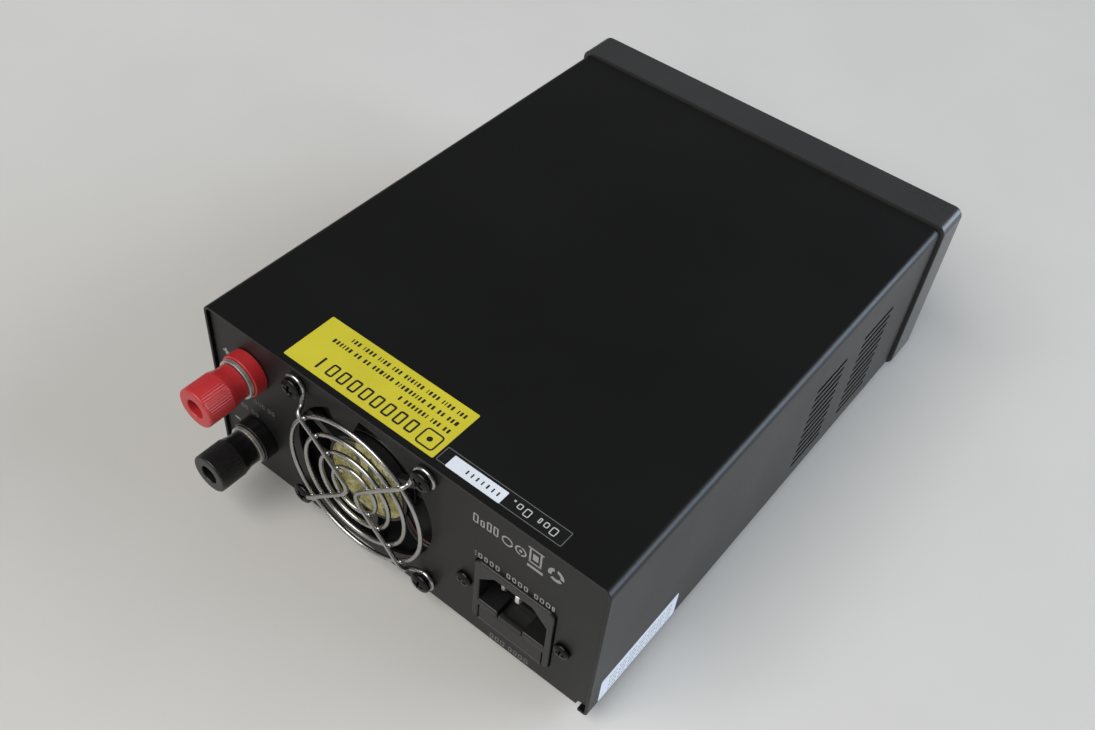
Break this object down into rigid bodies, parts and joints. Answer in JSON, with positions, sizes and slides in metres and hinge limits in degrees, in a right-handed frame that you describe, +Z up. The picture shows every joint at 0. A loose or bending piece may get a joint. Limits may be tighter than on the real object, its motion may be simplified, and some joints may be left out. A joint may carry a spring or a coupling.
{
  "type": "bench power supply",
  "caption": "Compact bench power supply with a folded steel case, rear cooling fan and guard, mains inlet with fuse drawer, output posts and a front control panel.",
  "frame": {"origin": "centre of the bounding box's bottom face, on the surface the feet stand on", "axes": "+Z up, +Y out of the rear connector panel, the control panel faces -Y, +X towards the output posts' side"},
  "size_m": [0.1534, 0.2356, 0.0709],
  "materials": {
    "cover_coat": "satin black powder coat",
    "panel_coat": "matte dark grey paint",
    "bezel_plastic": "fine-textured dark grey moulding",
    "fascia_plastic": "satin black",
    "foot_rubber": "matte",
    "black_screw": "black oxide steel",
    "fan_plastic": "satin black",
    "guard_wire": "bright nickel-plated wire",
    "inlet_plastic": "satin black",
    "contact_metal": "bright nickel plate",
    "stud_brass": "plated",
    "red_terminal": "glossy red",
    "black_terminal": "glossy black",
    "board_laminate": "green solder mask",
    "core_ferrite": "matte dark grey ferrite",
    "capacitor_sleeve": "shrink sleeve",
    "sink_aluminium": "extruded",
    "winding_copper": "enamelled copper",
    "bar_copper": "plain copper",
    "fuse_glass": "clear",
    "display_lens": "smoked red",
    "module_plastic": "matte black",
    "knob_plastic": "satin black",
    "switch_plastic": "satin black",
    "pot_metal": "plated",
    "led_lens": "tinted green"
  },
  "bodies": {
    "chassis": {"bottom_chassis": "panel_coat", "top_cover": "cover_coat", "front_bezel": "bezel_plastic", "front_fascia": "fascia_plastic", "rubber_foot_front_left": "foot_rubber", "rubber_foot_front_right": "foot_rubber", "rubber_foot_rear_left": "foot_rubber", "rubber_foot_rear_right": "foot_rubber", "cover_screw_1": "black_screw", "cover_screw_2": "black_screw", "cover_screw_3": "black_screw", "cover_screw_4": "black_screw", "fan_frame": "fan_plastic", "fan_guard": "guard_wire", "fan_screw_1": "black_screw", "fan_screw_2": "black_screw", "fan_screw_3": "black_screw", "fan_screw_4": "black_screw", "inlet_housing": "inlet_plastic", "inlet_pin_line": "contact_metal", "inlet_pin_neutral": "contact_metal", "inlet_pin_earth": "contact_metal", "inlet_screw_1": "black_screw", "inlet_screw_2": "black_screw", "positive_post_base": "red_terminal", "positive_post_stud": "stud_brass", "positive_post_nut": "contact_metal", "negative_post_base": "black_terminal", "negative_post_stud": "stud_brass", "negative_post_nut": "contact_metal", "main_circuit_board": "board_laminate", "transformer": "core_ferrite", "bulk_capacitor_1": "capacitor_sleeve", "bulk_capacitor_2": "capacitor_sleeve", "output_capacitor": "capacitor_sleeve", "primary_heatsink": "sink_aluminium", "secondary_heatsink": "sink_aluminium", "output_choke": "winding_copper", "mains_filter_choke": "winding_copper", "positive_busbar": "bar_copper", "negative_busbar": "bar_copper", "display_window": "display_lens", "display_module": "module_plastic", "control_board": "board_laminate", "voltage_potentiometer": "pot_metal", "current_potentiometer": "pot_metal", "power_switch_body": "switch_plastic", "status_led": "led_lens"},
    "fan_rotor": {"fan_rotor": "fan_plastic"},
    "fuse_drawer": {"fuse_drawer": "inlet_plastic", "mains_fuse": "fuse_glass"},
    "positive_washer": {"positive_post_washer": "contact_metal"},
    "positive_cap": {"positive_post_cap": "red_terminal"},
    "negative_washer": {"negative_post_washer": "contact_metal"},
    "negative_cap": {"negative_post_cap": "black_terminal"},
    "voltage_knob": {"voltage_knob": "knob_plastic", "voltage_shaft": "pot_metal"},
    "current_knob": {"current_knob": "knob_plastic", "current_shaft": "pot_metal"},
    "power_rocker": {"power_rocker": "switch_plastic"}
  },
  "joints": [
    {"name": "fan_spin", "type": "hinge", "parent": "chassis", "child": "fan_rotor", "pos_m": [0.0122, 0.0907, 0.0373], "axis": [0, 1, 0], "continuous": true},
    {"name": "fuse_drawer_slide", "type": "slide", "parent": "chassis", "child": "fuse_drawer", "axis": [0, 1, 0], "range_m": [0, 0.018]},
    {"name": "positive_washer_slide", "type": "slide", "parent": "chassis", "child": "positive_washer", "axis": [0, 1, 0], "range_m": [0, 0.00498]},
    {"name": "positive_cap_turn", "type": "hinge", "parent": "positive_washer", "child": "positive_cap", "pos_m": [0.058, 0.1104, 0.053], "axis": [0, 1, 0], "range_deg": [0, 1440]},
    {"name": "negative_washer_slide", "type": "slide", "parent": "chassis", "child": "negative_washer", "axis": [0, 1, 0], "range_m": [0, 0.00498]},
    {"name": "negative_cap_turn", "type": "hinge", "parent": "negative_washer", "child": "negative_cap", "pos_m": [0.058, 0.1104, 0.022], "axis": [0, 1, 0], "range_deg": [0, 1440]},
    {"name": "voltage_knob_turn", "type": "hinge", "parent": "chassis", "child": "voltage_knob", "pos_m": [0.025, -0.1106, 0.038], "axis": [0, 1, 0], "range_deg": [-150, 150]},
    {"name": "current_knob_turn", "type": "hinge", "parent": "chassis", "child": "current_knob", "pos_m": [0.056, -0.1106, 0.038], "axis": [0, 1, 0], "range_deg": [-150, 150]},
    {"name": "power_rocker_tip", "type": "hinge", "parent": "chassis", "child": "power_rocker", "pos_m": [-0.058, -0.1021, 0.0226], "axis": [1, 0, 0], "range_deg": [0, 20]}
  ],
  "couplings": [
    {"joint": "positive_cap_turn", "follows": "positive_washer_slide", "rad_per_m": 5050.5},
    {"joint": "negative_cap_turn", "follows": "negative_washer_slide", "rad_per_m": 5050.5}
  ]
}
